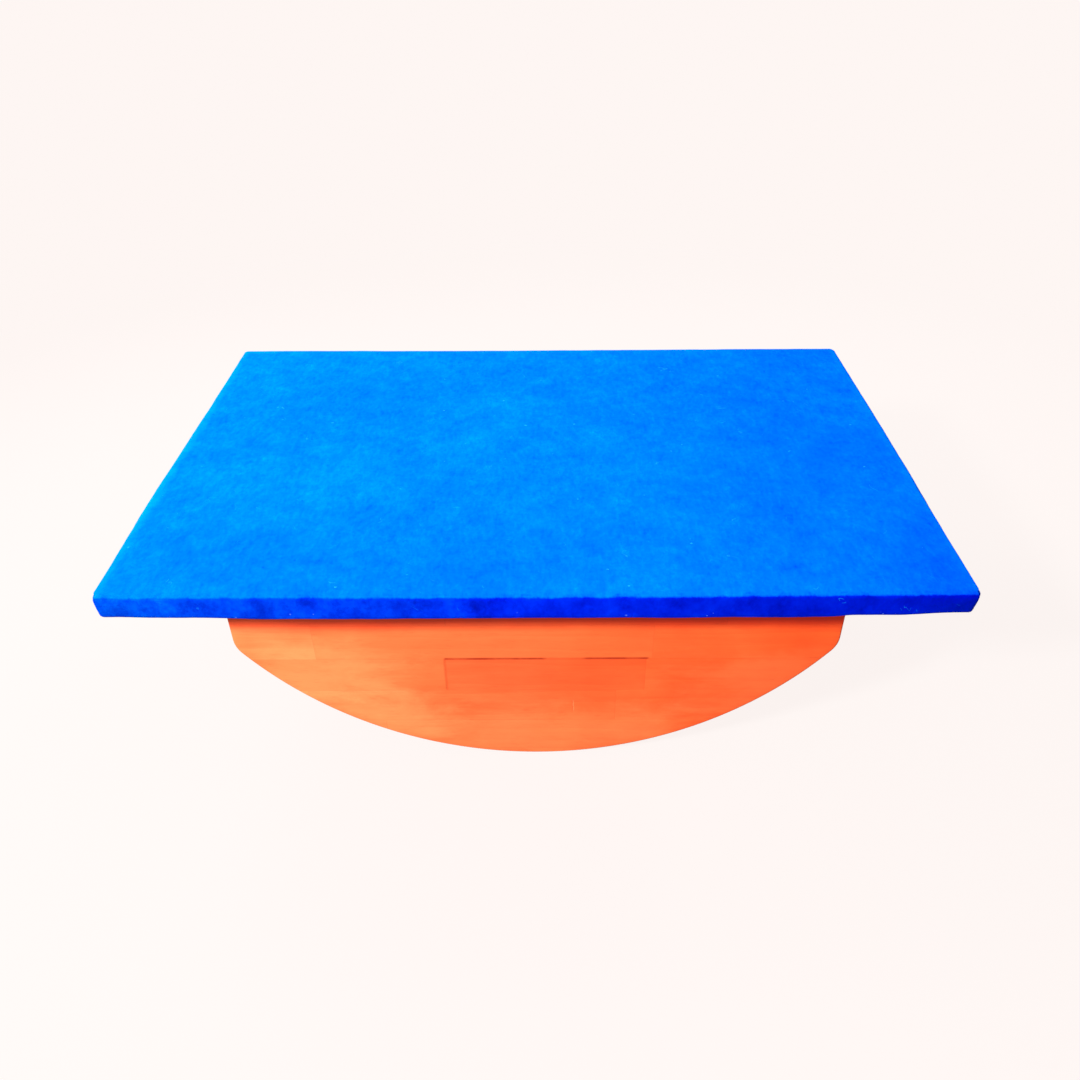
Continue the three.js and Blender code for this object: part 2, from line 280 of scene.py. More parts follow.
    # Pale ends of fibre along the lower edge of the sides.
    ends = n.math("LESS_THAN", n.cells(170.0), 0.13)
    ends = n.mul(ends, n.span(n.noise(46.0, 2.0, 0.6), 0.5, 0.62))
    ends = n.mul(ends, n.mul(n.span(z, HEM_Z + 3 * MM, HEM_Z + 7 * MM, 1.0, 0.0), n.span(facing, -0.9, -0.7)))
    colour = n.mix(n.mul(ends, 0.55), colour, (0.25, 0.5, 1.0))
    # Dark specks of grit.
    grit_cells = n.cells(41.0, vector=n.vector("ADD", n.position, (0.37, 0.11, 0.73)))
    grit = n.span(grit_cells, 0.02, 0.05, 1.0, 0.0)
    colour = n.mix(n.mul(grit, 0.45), colour, (0.0, 0.03, 0.3))
    relief = n.add(n.mul(tufts, 0.5), n.add(n.mul(fibres, 0.35), n.mul(streaked, 0.6)))
    normal = n.bump(relief, 0.6 * MM, 0.7)
    normal = n.bump(blotches, 1.0 * MM, 0.3, normal)
    return n.finish(colour, n.span(tufts, 0.2, 0.8, 0.88, 1.0), normal)


def wood_material(name, seed, key_stave=False, drift=1.0):
    """Edge-glued hardwood staves along X, each with a tone and grain of its own, under an orange-toned satin varnish."""
    n = Nodes(name, coat_weight=0.12, coat_roughness=0.3, specular_ior_level=0.22)
    x, y, z = n.split(n.position)[:3]
    lift = n.math("DIVIDE", n.sub(z, STAVE_Z0), STAVE_H)
    row = n.math("FLOOR", lift)
    row_part = n.sub(lift, row)
    row_random = n.white(n.join(row, float(seed), 0.5), "Color")
    r1, r2 = n.split(row_random)[:2]
    length = n.math("MULTIPLY_ADD", r1, 0.12, 0.19)
    shift = n.mul(r2, 3.0)
    if key_stave:
        # The row with the open glue line: a joint at x = -68 mm and the next at x = 82 mm.
        is_key = n.math("COMPARE", row, 2.0, 0.1)
        length = n.add(n.mul(length, n.sub(1.0, is_key)), n.mul(is_key, 0.15))
        shift = n.add(n.mul(shift, n.sub(1.0, is_key)), n.mul(is_key, 0.068 / 0.15))
    along = n.add(n.math("DIVIDE", x, length), shift)
    column = n.math("FLOOR", along)
    column_part = n.sub(along, column)
    stave = n.white(n.join(row, column, float(seed)), "Color")
    s1, s2, s3 = n.split(stave)[:3]
    # Grain: long in X, with its own origin in every stave.
    offset = n.vector("MULTIPLY", stave, (7.0, 7.0, 7.0))
    local = n.vector("ADD", n.position, offset)
    long_grain = n.noise(9.0, 4.0, 0.55, 0.6, n.vector("MULTIPLY", local, (0.5, 9.0, 9.0)))
    fine_grain = n.noise(60.0, 4.0, 0.65, 0.2, n.vector("MULTIPLY", local, (0.55, 12.0, 12.0)))
    pores = n.noise(240.0, 2.0, 0.5, 0.0, n.vector("MULTIPLY", local, (0.5, 9.0, 9.0)))
    rings = n.node("ShaderNodeTexWave", wave_type="RINGS", rings_direction="X", wave_profile="SAW")
    n.put(rings.inputs["Vector"], n.vector("MULTIPLY", local, (0.25, 1.0, 1.0)))
    rings.inputs["Scale"].default_value = 32.0
    rings.inputs["Distortion"].default_value = 5.0
    rings.inputs["Detail"].default_value = 2.0
    rings.inputs["Detail Scale"].default_value = 0.6
    ring = rings.outputs["Fac"]
    patches = n.noise(11.0, 3.0, 0.6)
    tone = n.mul(n.sub(s1, 0.5), 0.16)
    tone = n.add(tone, n.mul(n.sub(long_grain, 0.5), 0.45))
    tone = n.add(tone, n.mul(n.sub(ring, 0.5), 0.1))
    tone = n.add(tone, n.mul(n.sub(fine_grain, 0.5), 0.28))
    tone = n.add(tone, n.mul(n.sub(patches, 0.5), 0.85))
    tone = n.math("ADD", tone, 0.5, clamp=True)
    colour = n.ramp(
        tone,
        [
            (0.0, (0.66, 0.07, 0.012)),
            (0.3, (0.86, 0.115, 0.026)),
            (0.55, (0.93, 0.15, 0.038)),
            (0.8, (0.97, 0.2, 0.055)),
            (1.0, (1.0, 0.28, 0.09)),
        ],
    )
    # The panel drifts from a yellower orange at one end to a redder one at the other: part the wood's own tone and part
    # painted light, standing in for the key light's falloff along the board.
    slow = n.add(n.span(x, -0.22, 0.22, smooth=False), n.mul(n.sub(n.noise(9.0, 2.0, 0.5), 0.5), 0.7))
    ends = n.ramp(slow, [(0.0, (0.5, 0.74, 0.86)), (0.45, (0.5, 0.5, 0.5)), (0.72, (0.5, 0.4, 0.31)), (1.0, (0.5, 0.28, 0.14))])
    ends = n.vector("SCALE", ends)
    ends.node.inputs["Scale"].default_value = 2.0
    colour = n.mix(drift, colour, ends, "MULTIPLY")
    # Paler, yellower patches, the strongest of them at one end.
    smear = n.noise(1.0, 5.0, 0.68, 0.4, n.vector("MULTIPLY", n.position, (17.0, 17.0, 38.0)))
    for at_x, at_z, wide, high, much in ((-160, 84, 66, 36, 0.74), (-114, 44, 52, 28, 0.4), (15, 22, 120, 34, 0.26), (176, 70, 76, 40, 0.19)):
        far = n.math("POWER", n.math("DIVIDE", n.sub(x, at_x * MM), wide * MM), 2.0)
        far = n.add(far, n.math("POWER", n.math("DIVIDE", n.sub(z, at_z * MM), high * MM), 2.0))
        far = n.add(n.math("SQRT", far), n.mul(n.sub(smear, 0.5), 2.2))
        far = n.add(far, n.mul(n.sub(s3, 0.5), 0.14))
        colour = n.mix(n.mul(n.span(far, 0.15, 1.35, much, 0.0), drift), colour, (1.0, 0.33, 0.11))
    # Some staves run redder or yellower under the same varnish.
    colour = n.mix(n.mul(n.span(s2, 0.5, 1.0), 0.16), colour, (0.9, 0.09, 0.018))
    colour = n.mix(n.mul(n.span(s3, 0.55, 1.0), 0.12), colour, (0.98, 0.27, 0.07))
    pore = n.span(pores, 0.60, 0.72)
    colour = n.mix(n.mul(pore, 0.22), colour, (0.42, 0.045, 0.008))
    # Tight glue lines between rows and butt joints at stave ends.
    row_edge = n.mul(n.math("MINIMUM", row_part, n.sub(1.0, row_part)), STAVE_H)
    end_edge = n.mul(n.math("MINIMUM", column_part, n.sub(1.0, column_part)), length)
    row_line = n.span(row_edge, 0.1 * MM, 0.45 * MM, 1.0, 0.0)
    end_line = n.span(end_edge, 0.1 * MM, 0.5 * MM, 1.0, 0.0)
    glue = n.math("MAXIMUM", n.mul(row_line, 0.1), n.mul(end_line, 0.13))
    colour = n.mix(glue, colour, (0.35, 0.035, 0.006))
    # Painted shade: the wood just under the deck's overhang is darkened and reddened, standing in for the deck's
    # shadow.
    wander = n.add(n.span(x, -0.16, 0.03, 2.5 * MM, 0.0), n.mul(n.sub(n.noise(1.0, 3.0, 0.6, 0.0, n.join(n.mul(x, 22.0), 0.3, 0.8)), 0.5), 7 * MM))
    colour = n.mix(n.span(n.add(z, wander), 127 * MM, 141 * MM), colour, (1.0, 0.38, 0.33), "MULTIPLY")
    if key_stave:
        key = n.mul(is_key, n.mul(n.span(x, -68.2 * MM, -67.8 * MM), n.span(x, 81.8 * MM, 82.2 * MM, 1.0, 0.0)))
        colour = n.mix(n.mul(key, 0.5), colour, (1.0, 0.72, 0.66), "MULTIPLY")
        on_face = n.math("LESS_THAN", y, rocker_lo[1] + 2.0 * MM)
        # The open glue line over the key stave, with a gap where it is still shut, fading down the stave's left end.
        near = n.span(n.math("ABSOLUTE", n.sub(z, 102.3 * MM)), 0.5 * MM, 1.5 * MM, 1.0, 0.0)
        inside = n.mul(n.span(x, -69 * MM, -67 * MM), n.span(x, 82 * MM, 85 * MM, 1.0, 0.0))
        shut = n.math("MAXIMUM", n.span(x, 4 * MM, 9 * MM, 1.0, 0.3), n.span(x, 33 * MM, 38 * MM, 0.3, 1.0))
        shut = n.mul(shut, n.span(n.noise(60.0, 2.0, 0.5, 0.0, n.join(x, 3.1, 0.7)), 0.35, 0.6, 0.6, 1.0))
        line = n.mul(n.mul(near, inside), shut)
        colour = n.mix(n.mul(n.mul(line, on_face), 0.85), colour, (0.4, 0.02, 0.003))
        left = n.span(n.math("ABSOLUTE", n.add(x, 68 * MM)), 0.4 * MM, 1.6 * MM, 1.0, 0.0)
        left = n.mul(left, n.mul(n.span(z, 69 * MM, 72 * MM), n.span(z, 101 * MM, 103 * MM, 1.0, 0.0)))
        colour = n.mix(n.mul(n.mul(left, on_face), 0.4), colour, (0.5, 0.05, 0.008))
        # A shallow pale nick in the varnish.
        lean = n.add(x, n.mul(n.sub(z, 53 * MM), 0.05))
        nick = n.span(n.math("ABSOLUTE", n.sub(lean, 28.2 * MM)), 0.25 * MM, 0.9 * MM, 1.0, 0.0)
        nick = n.mul(nick, n.mul(n.span(z, 45.5 * MM, 49 * MM), n.span(z, 57 * MM, 60.5 * MM, 1.0, 0.0)))
        nick_break = n.span(n.noise(700.0, 2.0), 0.35, 0.6, 0.25, 1.0)
        colour = n.mix(n.mul(n.mul(nick, nick_break), n.mul(on_face, 0.33)), colour, (1.0, 0.4, 0.16))
    relief = n.add(n.mul(pore, -0.5), n.mul(fine_grain, 0.35))
    relief = n.sub(relief, n.mul(n.math("MAXIMUM", row_line, end_line), 0.5))
    normal = n.bump(relief, 0.12 * MM, 0.6)
    return n.finish(colour, n.span(fine_grain, 0.25, 0.75, 0.38, 0.52), normal)


def plywood_material():
    """Bare birch plywood: rotary-cut face with long wandering figure, plies on its edges."""
    n = Nodes("deck_plywood", specular_ior_level=0.3)
    x, y, z = n.split(n.position)[:3]
    figure = n.noise(4.0, 3.0, 0.5, 1.4, n.vector("MULTIPLY", n.position, (0.7, 5.0, 1.0)))
    bands = n.math("SINE", n.mul(figure, 95.0))
    fine = n.noise(120.0, 4.0, 0.6, 0.0, n.vector("MULTIPLY", n.position, (0.35, 9.0, 1.0)))
    clouds = n.noise(6.0, 3.0, 0.55)
    tone = n.add(n.mul(n.math("MULTIPLY_ADD", bands, 0.5, 0.5), 0.35), n.mul(fine, 0.4))
    tone = n.math("ADD", tone, n.mul(n.sub(clouds, 0.5), 0.35), clamp=True)
    colour = n.ramp(tone, [(0.0, (0.42, 0.235, 0.105)), (0.4, (0.63, 0.41, 0.21)), (1.0, (0.82, 0.62, 0.38))])
    # Small pin knots and a few mineral streaks.
    knots = n.span(n.cells(9.0, vector=n.vector("MULTIPLY", n.position, (0.6, 1.0, 0.01))), 0.02, 0.055, 1.0, 0.0)
    colour = n.mix(n.mul(knots, 0.75), colour, (0.2, 0.085, 0.035))
    streak = n.span(n.noise(14.0, 2.0, 0.5, 0.3, n.vector("MULTIPLY", n.position, (0.3, 6.0, 1.0))), 0.68, 0.78)
    colour = n.mix(n.mul(streak, 0.3), colour, (0.4, 0.2, 0.09))
    # Plies, on the edges only.
    ply = n.math("FRACT", n.math("DIVIDE", n.sub(z, DECK_Z), 2.4 * MM))
    dark_ply = n.span(ply, 0.45, 0.55)
    side = n.node("ShaderNodeNewGeometry").outputs["Normal"]
    edge = n.span(n.math("ABSOLUTE", n.split(side)[2]), 0.4, 0.7, 1.0, 0.0)
    colour = n.mix(n.mul(edge, n.mul(dark_ply, 0.55)), colour, (0.36, 0.2, 0.09))
    normal = n.bump(n.add(n.mul(fine, 0.7), n.mul(figure, 0.3)), 0.25 * MM, 0.6)
    return n.finish(colour, n.span(fine, 0.3, 0.7, 0.62, 0.8), normal)


def dowel_material():
    n = Nodes("dowel_beech", specular_ior_level=0.3)
    grain = n.noise(90.0, 4.0, 0.6, 0.1, n.vector("MULTIPLY", n.position, (6.0, 0.4, 6.0)))
    fleck = n.span(n.noise(500.0, 1.0, 0.5, 0.0, n.vector("MULTIPLY", n.position, (3.0, 0.35, 3.0))), 0.6, 0.7)
    colour = n.ramp(grain, [(0.25, (0.5, 0.3, 0.15)), (0.55, (0.68, 0.45, 0.25)), (0.8, (0.78, 0.57, 0.35))])
    colour = n.mix(n.mul(fleck, 0.45), colour, (0.36, 0.18, 0.08))
    return n.finish(colour, n.span(grain, 0.3, 0.7, 0.6, 0.75), n.bump(grain, 0.15 * MM, 0.6))


def felt_material():
    n = Nodes("underlay_felt", sheen_weight=0.3, sheen_roughness=0.6, specular_ior_level=0.1)
    clumps = n.noise(140.0, 4.0, 0.65, 0.8)
    fibres = n.noise(1300.0, 2.0, 0.6, 1.5)
    shreds = n.cells(260.0, output="Color")
    tone = n.add(n.mul(clumps, 0.6), n.mul(fibres, 0.4))
    colour = n.ramp(tone, [(0.25, (0.1, 0.105, 0.115)), (0.5, (0.24, 0.25, 0.265)), (0.78, (0.44, 0.45, 0.47))])
    colour = n.mix(0.12, colour, shreds)
    return n.finish(colour, n.span(fibres, 0.2, 0.8, 0.9, 1.0), n.bump(n.add(clumps, n.mul(fibres, 0.5)), 0.6 * MM, 0.9))


def zinc_material():
    n = Nodes("zinc_steel")
    patches = n.cells(420.0, output="Color")
    p1 = n.split(patches)[0]
    clouds = n.noise(300.0, 3.0, 0.6)
    turned = n.noise(40.0, 3.0, 0.5, 0.0, n.vector("MULTIPLY", n.position, (1.0, 1.0, 60.0)))
    colour = n.ramp(n.add(n.mul(p1, 0.4), n.mul(clouds, 0.6)), [(0.2, (0.5, 0.48, 0.4)), (0.6, (0.68, 0.66, 0.56)), (0.9, (0.8, 0.77, 0.62))])
    roughness = n.span(n.add(clouds, n.mul(turned, 0.4)), 0.4, 0.9, 0.24, 0.46)
    return n.finish(colour, roughness, n.bump(turned, 0.05 * MM, 0.5), 1.0)


def staple_material():
    n = Nodes("staple_wire")
    drawn = n.noise(900.0, 3.0, 0.6)
    clouds = n.noise(160.0, 3.0, 0.6)
    colour = n.ramp(clouds, [(0.3, (0.46, 0.47, 0.49)), (0.6, (0.66, 0.67, 0.69)), (0.85, (0.78, 0.79, 0.8))])
    return n.finish(colour, n.span(drawn, 0.25, 0.75, 0.22, 0.45), n.bump(drawn, 0.03 * MM, 0.5), 1.0)


# ---- mesh helpers -----------------------------------------------------------------------------------------------------------


def smoothstep(low, high, value):
    t = min(max((value - low) / (high - low), 0.0), 1.0)
    return t * t * (3 - 2 * t)


def fractal(x, y, z, octaves=3):
    total, size = 0.0, 1.0
    for i in range(octaves):
        total += size * noise.noise(Vector((x, y, z)) * 2.0**i + Vector((17.3 * i, 5.1 * i, 9.7 * i)))
        size *= 0.5
    return total


def make(name, vertices, faces, material, smooth=True):
    mesh = bpy.data.meshes.new(name)
    mesh.from_pydata(vertices, [], faces)
    mesh.materials.append(material)
    mesh.validate()
    mesh.update()
    if smooth:
        mesh.shade_smooth()
    obj = bpy.data.objects.new(name, mesh)
    scene.collection.objects.link(obj)
    return obj


class Sweep:
    """Vertices shared by name, so that neighbouring patches join into one closed surface."""

    def __init__(self):
        self.vertices, self.faces, self.index = [], [], {}

    def vertex(self, key, point):
        if key not in self.index:
            self.index[key] = len(self.vertices)
            self.vertices.append(tuple(point))
        return self.index[key]

    def face(self, *corners):
        ring = [c for i, c in enumerate(corners) if c != corners[i - 1]]
        if len(set(ring)) >= 3:
            self.faces.append(ring)


def rim_walk(half_x, half_y, nx, ny, fan):
    """Anticlockwise round a rectangle: (corner or edge point, outward direction, key), with a fan of directions at each corner."""
    walk = []

    def edge(x0, y0, x1, y1, n, direction):
        for i in range(n):
            t = i / n
            walk.append(((x0 + (x1 - x0) * t, y0 + (y1 - y0) * t), direction))

    corners = [
        ((half_x, -half_y), (half_x, half_y), ny, (1.0, 0.0), 0),
        ((half_x, half_y), (-half_x, half_y), nx, (0.0, 1.0), 90),
        ((-half_x, half_y), (-half_x, -half_y), ny, (-1.0, 0.0), 180),
        ((-half_x, -half_y), (half_x, -half_y), nx, (0.0, -1.0), 270),
    ]
    for start, end, n, direction, angle in corners:
        edge(*start, *end, n, direction)
        for i in range(fan):
            a = math.radians(angle + 90 * i / fan)
            walk.append((end, (math.cos(a), math.sin(a))))
    return walk


# ---- the carpet: one sheet over the top, round the edges and turned under ---------------------------------------------------

staple_spots = []
for node_name in frame["nodes"]:
    if node_name.startswith("hem_staple"):
        lo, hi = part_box(node_name)
        staple_spots.append(((lo[0] + hi[0]) / 2, (lo[1] + hi[1]) / 2))


def build_carpet(material):
    in_x, in_y = HALF_X - PLAN_R, HALF_Y - PLAN_R
    nx, ny, fan = 234, 154, 10
    flat = PLAN_R - EDGE_R
    window_x, window_y = HALF_X - HEM_SHORT, HALF_Y - HEM_LONG
    s = Sweep()

    def wobble(x, y, z, amount=1.0):
        """How far the cloth's face stands from its plain shape: slow waves, and the pile's unevenness."""
        slow = fractal(x * 9.0, y * 9.0, z * 9.0 + 2.0, 2) * 0.3
        mid = fractal(x * 42.0, y * 42.0, z * 42.0 + 7.0, 2) * 0.14
        fine = noise.noise(Vector((x * 210.0, y * 210.0, z * 210.0))) * 0.07
        return (slow + mid + fine) * MM * amount

    def lie(x, y):
        """The cloth stands a little proud towards the ends and sags in the middle, not quite the same in front and behind."""
        near = 1.1 * smoothstep(0.0, -0.3, x) + 0.7 * smoothstep(0.0, 0.3, x)
        far = -0.5 + 1.5 * smoothstep(0.0, -0.3, x) - 0.5 * smoothstep(0.0, 0.3, x)
        t = smoothstep(-0.2, 0.2, y)
        return (near + (far - near) * t) * MM

    def taper(x, y, z):
        """The gathered corners draw in towards the underside, the right-hand one most."""
        corner = smoothstep(60 * MM, 8 * MM, math.hypot(HALF_X - abs(x), HALF_Y - abs(y)))
        return -corner * (2.3 if x > 0 else 1.5) * MM * smoothstep(TOP_Z - 5 * MM, HEM_Z, z) ** 0.8

    def droop(x, y):
        """Between the rocker's ends the turned-under cloth hangs a little below the rest."""
        along = smoothstep(-0.235, -0.17, x) * smoothstep(0.218, 0.198, x)
        return along * (1.5 + 0.5 * noise.noise(Vector((x * 26.0, y * 5.0, 1.0)))) * MM * smoothstep(0.15, 0.195, abs(y))

    bows = [(-0.2, -1.3), (-0.18, -0.8), (-0.14, 0.2), (-0.09, 0.7), (-0.04, 0.6), (0.03, 0.2), (0.1, -0.3), (0.2, -0.4)]

    other_bows = [(-0.2, -1.2), (-0.15, -1.1), (-0.1, -0.6), (-0.04, 0.3), (0.05, 0.4), (0.2, 0.0)]

    def bow(x, y, direction):
        """The short sides are not cut quite straight."""
        if abs(direction[0]) < 0.5:
            return 0.0
        side = bows if direction[0] < 0 else other_bows
        for (y0, b0), (y1, b1) in zip(side, side[1:]):
            if y <= y1:
                return (b0 + (b1 - b0) * smoothstep(y0, y1, y)) * MM * abs(direction[0])
        return side[-1][1] * MM * abs(direction[0])

    # Top, as a grid.
    for j in range(ny + 1):
        y = -in_y + 2 * in_y * j / ny
        for i in range(nx + 1):
            x = -in_x + 2 * in_x * i / nx
            s.vertex(("top", i, j), (x, y, TOP_Z - 0.25 * MM + wobble(x, y, TOP_Z) + lie(x, y)))
    for j in range(ny):
        for i in range(nx):
            s.face(*(s.index[("top", a, b)] for a, b in ((i, j), (i + 1, j), (i + 1, j + 1), (i, j + 1))))

    walk = rim_walk(in_x, in_y, nx, ny, fan)
    count = len(walk)

    def top_key(point):
        return ("top", round((point[0] + in_x) / (2 * in_x) * nx), round((point[1] + in_y) / (2 * in_y) * ny))

    # The section: (distance out from the inner rectangle, z, outward lean, upward lean).
    def section(upper, lower, top, bottom, out, steps_flat, steps_arc, steps_side):
        rows = []
        for i in range(1, steps_flat + 1):
            rows.append(((out - upper) * i / steps_flat, top, 0.0, 1.0))
        for i in range(1, steps_arc + 1):
            a = math.pi / 2 * i / steps_arc
            rows.append((out - upper + upper * math.sin(a), top - upper + upper * math.cos(a), math.sin(a), math.cos(a)))
        for i in range(1, steps_side):
            rows.append((out, top - upper + (bottom + lower - top + upper) * i / steps_side, 1.0, 0.0))
        for i in range(0, steps_arc + 1):
            a = math.pi / 2 * (1 + i / steps_arc)
            rows.append((out - lower + lower * math.sin(a), bottom + lower + lower * math.cos(a), math.sin(a), math.cos(a)))
        return rows

    def under(point, direction, t, z):
        """A point of the hem, t of the way from the edge's underside to the window."""
        ox, oy = point[0] + direction[0] * flat, point[1] + direction[1] * flat
        tx = point[0] * window_x / in_x
        ty = point[1] * window_y / in_y
        return ox + (tx - ox) * t, oy + (ty - oy) * t, z

    def press(x, y):
        near = min((x - a) ** 2 + (y - b) ** 2 for a, b in staple_spots)
        return 1 - math.exp(-near / (7.5 * MM) ** 2)

    def fold(x, y):
        """The corner fold: the short side's hem lies over the long side's along a mitre, over a gathered thickness."""
        dx, dy = HALF_X - abs(x), HALF_Y - abs(y)  # distances in from the two edges
        across = dx / HEM_SHORT - dy / HEM_LONG
        close = smoothstep(46 * MM, 12 * MM, math.hypot(dx, dy))
        over = smoothstep(0.10, -0.02, across) * smoothstep(-1.1, -0.25, across)
        groove = math.exp(-(((across - 0.06) / 0.05) ** 2))
        return (over * 1.0 - groove * 0.6) * MM * close * smoothstep(4 * MM, 14 * MM, min(dx, dy))

    outer = section(CREASE_R, EDGE_R, TOP_Z, HEM_Z, PLAN_R, 4, 8, 6)
    hem_steps = 12
    last = [s.index[top_key(p)] for p, _ in walk]
    for r, (out, z, lean, rise) in enumerate(outer):
        ring = []
        for k, (p, d) in enumerate(walk):
            x, y = p[0] + d[0] * out, p[1] + d[1] * out
            drawn = taper(x, y, z)
            shove = wobble(x, y, z, 1.0 + 0.2 * lean) - 0.25 * MM
            # The wrapped edge: soft, a little uneven along its length, fuller at the middle of its height.
            if lean > 0:
                run = fractal(x * 24.0, y * 24.0, 3.0, 2)
                shove += (0.25 * run - 0.1) * MM * lean
                shove += bow(x, y, d) - 0.45 * MM - 0.5 * MM * abs(d[0]) * (d[0] < 0)
            lifted = lie(x, y) * smoothstep(TOP_Z - 12 * MM, TOP_Z - 3 * MM, z)
            x, y = x + d[0] * (shove * lean + drawn), y + d[1] * (shove * lean + drawn)
            z2 = z + shove * rise + lifted - droop(x, y) * smoothstep(HEM_Z + 9 * MM, HEM_Z + 1 * MM, z)
            ring.append(s.vertex(("outer", r, k), (x, y, z2)))
        for k in range(count):
            a, b = k, (k + 1) % count
            s.face(last[a], ring[a], ring[b], last[b])
        last = ring
    for r in range(1, hem_steps + 1):
        t = r / hem_steps
        ring = []
        for k, (p, d) in enumerate(walk):
            x, y, z = under(p, d, t, HEM_Z)
            drawn = taper(x, y, z) * (1 - t) ** 2
            z -= droop(x, y) * (1 - t) ** 1.5
            x, y = x + d[0] * drawn, y + d[1] * drawn
            ragged = 0.5 * MM * noise.noise(Vector((x * 160.0, y * 160.0, 4.0))) * smoothstep(0.7, 1.0, t)
            length = math.hypot(x, y)
            x, y = x + ragged * x / length, y + ragged * y / length
            puff = (0.55 + 0.35 * fractal(x * 30, y * 30, 1.0, 2)) * press(x, y)
            z -= puff * MM * math.sin(math.pi * min(t * 1.15, 1.0)) ** 0.5 if t < 0.87 else 0.0
            z -= fold(x, y) * press(x, y) * smoothstep(0.0, 0.15, t) * smoothstep(1.0, 0.93, t)
            key = ("hem", r, k) if r < hem_steps else ("hem_end", round(x * 1e6), round(y * 1e6))
            ring.append(s.vertex(key, (x, y, z)))
        for k in range(count):
            a, b = k, (k + 1) % count
            s.face(last[a], ring[a], ring[b], last[b])
        last = ring

    # Back of the cloth, from the window outwards and up to the underside of the top.
    inner = section(
        1.4 * MM, EDGE_R - CLOTH_T, TOP_Z - CLOTH_T + 0.05 * MM, HEM_Z + CLOTH_T - 0.05 * MM, PLAN_R - CLOTH_T, 1, 3, 2
    )
    back_z = HEM_Z + CLOTH_T - 0.05 * MM
    for r in range(0, 5):
        t = 1 - r / 5
        ring = []
        for k, (p, d) in enumerate(walk):
            x, y, z = under(p, d, t, back_z)
            if r == 0:
                ox, oy, _ = s.vertices[last[k]]
                x, y = ox, oy
            key = ("back", r, k) if r else ("back_end", round(x * 1e6), round(y * 1e6))
            ring.append(s.vertex(key, (x, y, z)))
        for k in range(count):
            a, b = k, (k + 1) % count
            s.face(last[a], ring[a], ring[b], last[b])
        last = ring
    for r, (out, z, _, _) in reversed(list(enumerate(inner))):
        ring = [s.vertex(("inner", r, k), (p[0] + d[0] * out, p[1] + d[1] * out, z)) for k, (p, d) in enumerate(walk)]
        for k in range(count):
            a, b = k, (k + 1) % count
            s.face(last[a], ring[a], ring[b], last[b])
        last = ring
    # The underside of the top: long strips across, with the two end strips taking the short sides' points.
    zi = TOP_Z - CLOTH_T + 0.05 * MM
    rect = {}
    ring = []
    for k, (p, d) in enumerate(walk):
        key = ("in_top", *top_key(p)[1:])
        rect[key] = (p[0], p[1], zi)
        ring.append(s.vertex(key, rect[key]))
    for k in range(count):
        a, b = k, (k + 1) % count
        s.face(last[a], ring[a], ring[b], last[b])
    at = lambda i, j: s.index[("in_top", i, j)]
    s.face(*([at(0, j) for j in range(ny + 1)] + [at(1, ny), at(1, 0)]))
    for i in range(1, nx - 1):
        s.face(at(i, 0), at(i, ny), at(i + 1, ny), at(i + 1, 0))
    s.face(*([at(nx - 1, 0), at(nx - 1, ny)] + [at(nx, j) for j in range(ny, -1, -1)]))
    return make("carpet_wrap", s.vertices, s.faces, material)


def build_pad(material):
    """The felt pad: eased upper edge, faces that are not quite flat."""
    in_x, in_y = HALF_X - PLAN_R, HALF_Y - PLAN_R
    nx, ny, fan = 143, 93, 8
    s = Sweep()
    reach = pad_hi[0] - in_x
    top, bottom = pad_hi[2] - 0.1 * MM, pad_lo[2] + 0.05 * MM
    round_r = 2.2 * MM

    def lump(x, y):
        return 0.07 * MM * fractal(x * 60, y * 60, 3.0, 3) - 0.08 * MM

    for layer, z in (("top", top), ("low", bottom)):
        for j in range(ny + 1):
            y = -in_y + 2 * in_y * j / ny
            for i in range(nx + 1):
                x = -in_x + 2 * in_x * i / nx
                s.vertex((layer, i, j), (x, y, z + (lump(x, y) if layer == "top" else 0.0)))
        for j in range(ny):
            for i in range(nx):
                quad = [s.index[(layer, a, b)] for a, b in ((i, j), (i + 1, j), (i + 1, j + 1), (i, j + 1))]
                s.face(*(quad if layer == "top" else quad[::-1]))
    walk = rim_walk(in_x, in_y, nx, ny, fan)

    def key(layer, p):
        return (layer, round((p[0] + in_x) / (2 * in_x) * nx), round((p[1] + in_y) / (2 * in_y) * ny))

    rows = [((reach - round_r) * 0.5, top), (reach - round_r, top)]
    for i in range(1, 5):
        a = math.pi / 2 * i / 4
        rows.append((reach - round_r + round_r * math.sin(a), top - round_r + round_r * math.cos(a)))
    rows += [(reach, bottom + 0.2 * MM), (reach - 0.3 * MM, bottom), (reach * 0.5, bottom)]
    last = [s.index[key("top", p)] for p, _ in walk]
    count = len(walk)
    for r, (out, z) in enumerate(rows):
        ring = [s.vertex(("rim", r, k), (p[0] + d[0] * out, p[1] + d[1] * out, z)) for k, (p, d) in enumerate(walk)]
        for k in range(count):
            a, b = k, (k + 1) % count
            s.face(last[a], ring[a], ring[b], last[b])
        last = ring
    ring = [s.index[key("low", p)] for p, _ in walk]
    for k in range(count):
        a, b = k, (k + 1) % count
        s.face(last[a], ring[a], ring[b], last[b])
    return make("felt_underlay", s.vertices, s.faces, material)


# ---- the rockers ------------------------------------------------------------------------------------------------------------


